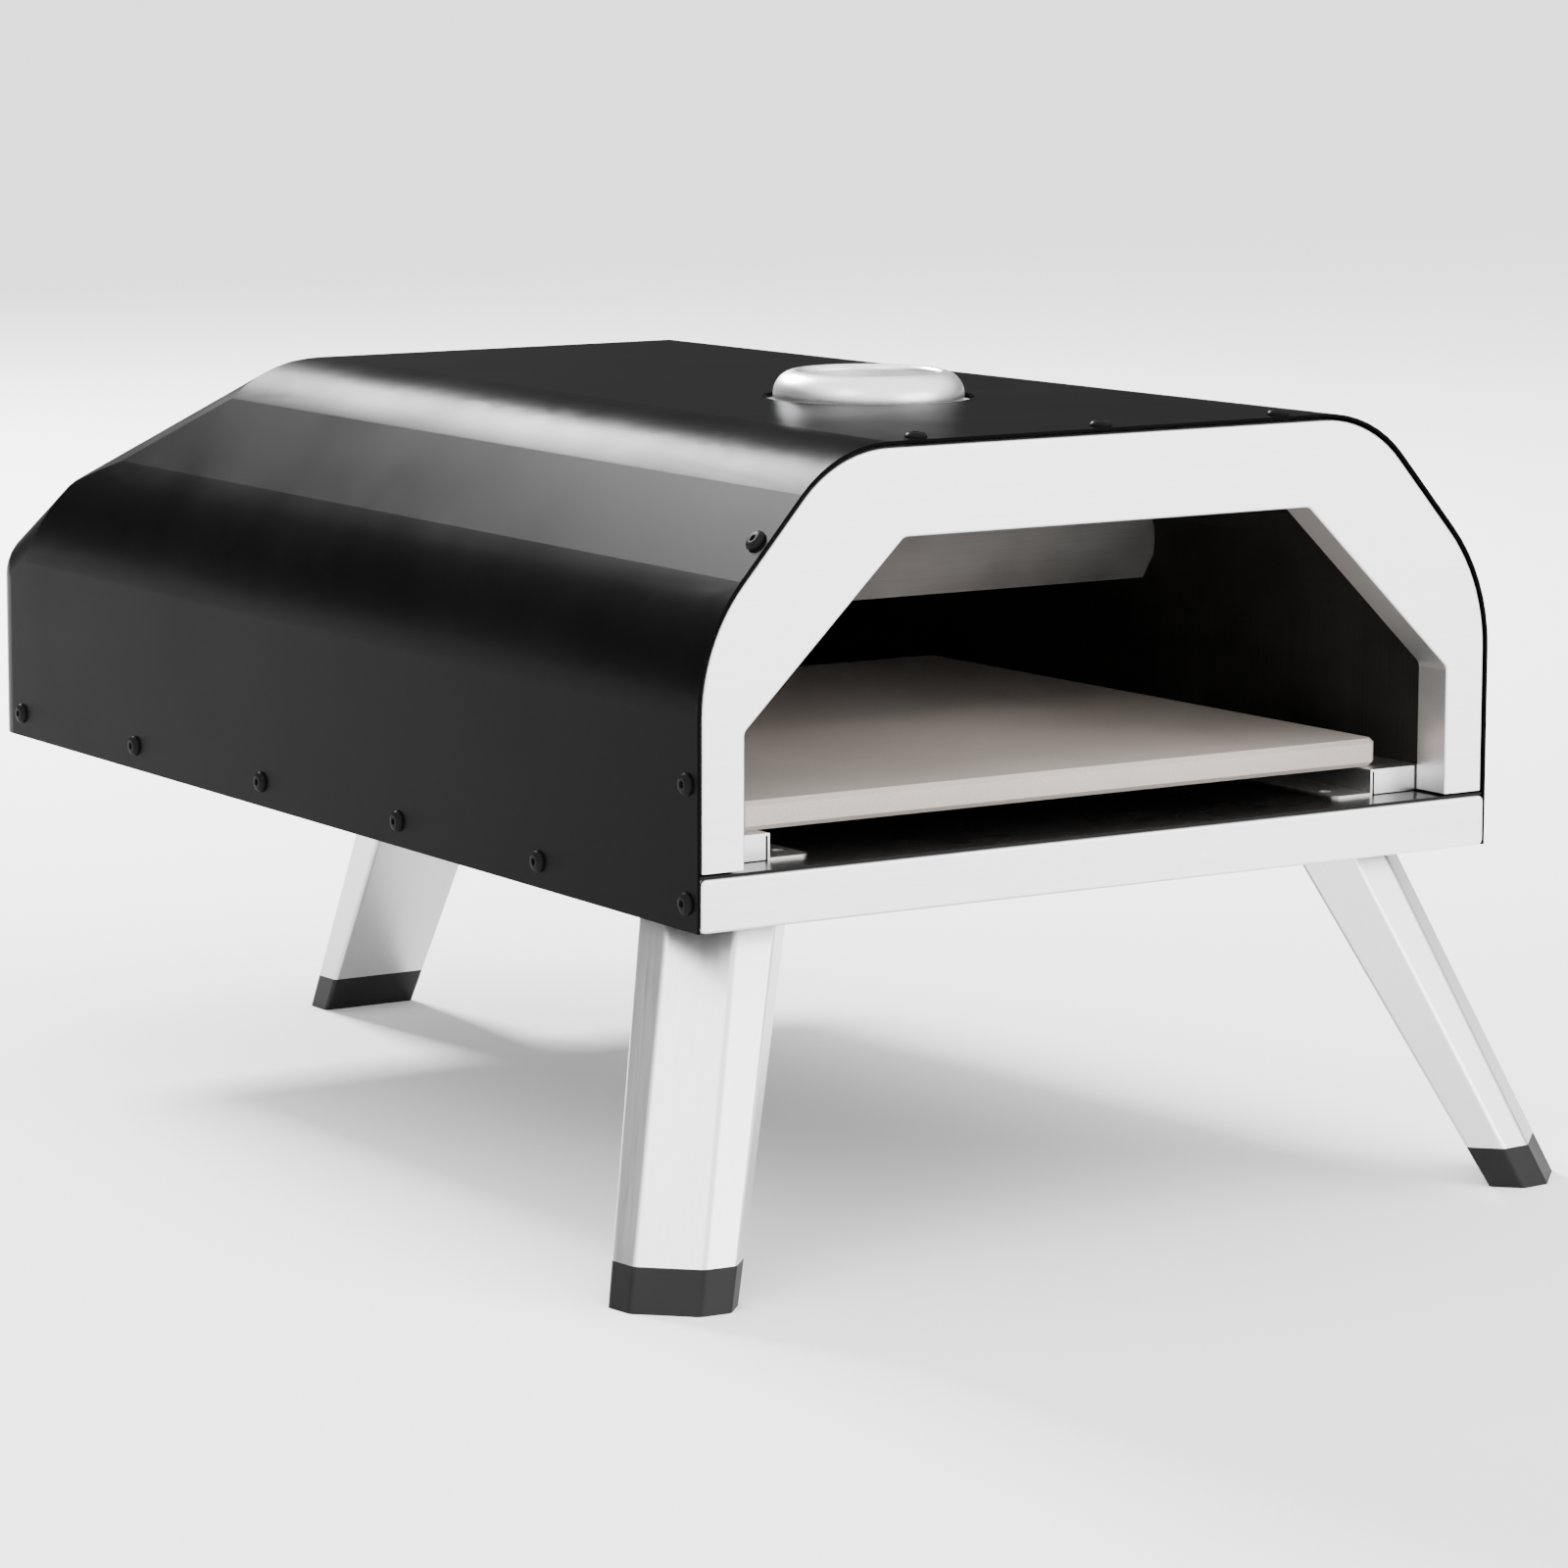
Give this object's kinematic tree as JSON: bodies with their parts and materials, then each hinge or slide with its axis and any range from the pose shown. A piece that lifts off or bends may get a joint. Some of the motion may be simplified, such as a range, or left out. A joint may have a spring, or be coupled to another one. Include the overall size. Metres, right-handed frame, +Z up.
{
  "type": "wood fired pizza oven",
  "caption": "Low tabletop wood fired pizza oven with a black arched shell tapering to the rear, brushed steel arched front, square baking stone, roof flue collar and splayed folding legs.",
  "frame": {"origin": "centre of the assembly's bounding box footprint, on the ground under the foot caps", "axes": "+X to the right seen from the mouth, +Y from the mouth to the rear, +Z up"},
  "size_m": [0.4784, 0.73, 0.3466],
  "materials": {
    "painted_shell": "satin black powder coat",
    "brushed_front": "brushed",
    "chamber_steel": "heat-darkened brushed steel",
    "insulation": "ceramic fibre blanket",
    "collar_steel": "satin",
    "rail_steel": "plain",
    "stone": "smooth cordierite",
    "brushed_leg": "brushed lengthwise",
    "foot_plastic": "satin",
    "black_screws": "black oxide"
  },
  "bodies": {
    "oven_body": {"outer_shell": "painted_shell", "floor_pan": "painted_shell", "front_plate": "brushed_front", "front_sill": "brushed_front", "chamber_liner": "chamber_steel", "flame_baffle": "chamber_steel", "fuel_port_sleeve": "chamber_steel", "flue_sleeve": "chamber_steel", "insulation_blanket": "insulation", "chimney_collar": "collar_steel", "left_stone_rail": "rail_steel", "right_stone_rail": "rail_steel", "front_left_leg_bracket": "rail_steel", "front_right_leg_bracket": "rail_steel", "rear_leg_bracket": "rail_steel", "front_left_hinge_pin": "rail_steel", "front_right_hinge_pin": "rail_steel", "rear_hinge_pin": "rail_steel", "shell_side_screws": "black_screws", "shell_front_screws": "black_screws", "rail_screws": "black_screws", "bracket_screws": "black_screws"},
    "front_left_leg_unit": {"front_left_leg": "brushed_leg", "front_left_foot_cap": "foot_plastic"},
    "front_right_leg_unit": {"front_right_leg": "brushed_leg", "front_right_foot_cap": "foot_plastic"},
    "rear_leg_unit": {"rear_leg": "brushed_leg", "rear_foot_cap": "foot_plastic"},
    "stone": {"pizza_stone": "stone"},
    "fuel_drawer": {"fuel_drawer_front": "painted_shell", "fuel_tray": "chamber_steel", "fuel_grate": "chamber_steel", "fuel_drawer_handle": "rail_steel", "handle_screws": "black_screws"}
  },
  "joints": [
    {"name": "front_left_leg_fold", "type": "hinge", "parent": "oven_body", "child": "front_left_leg_unit", "pos_m": [-0.15615, -0.28109, 0.1491], "axis": [0.7133, -0.7009, 0], "range_deg": [0, 118]},
    {"name": "front_right_leg_fold", "type": "hinge", "parent": "oven_body", "child": "front_right_leg_unit", "pos_m": [0.15615, -0.28109, 0.1491], "axis": [0.7133, 0.7009, 0], "range_deg": [0, 118]},
    {"name": "rear_leg_fold", "type": "hinge", "parent": "oven_body", "child": "rear_leg_unit", "pos_m": [0, 0.19124, 0.1491], "axis": [-1, 0, 0], "range_deg": [0, 118]},
    {"name": "stone_slide", "type": "slide", "parent": "oven_body", "child": "stone", "axis": [0, -1, 0], "range_m": [0, 0.36]},
    {"name": "fuel_drawer_slide", "type": "slide", "parent": "oven_body", "child": "fuel_drawer", "axis": [0, 1, 0], "range_m": [0, 0.14]}
  ]
}
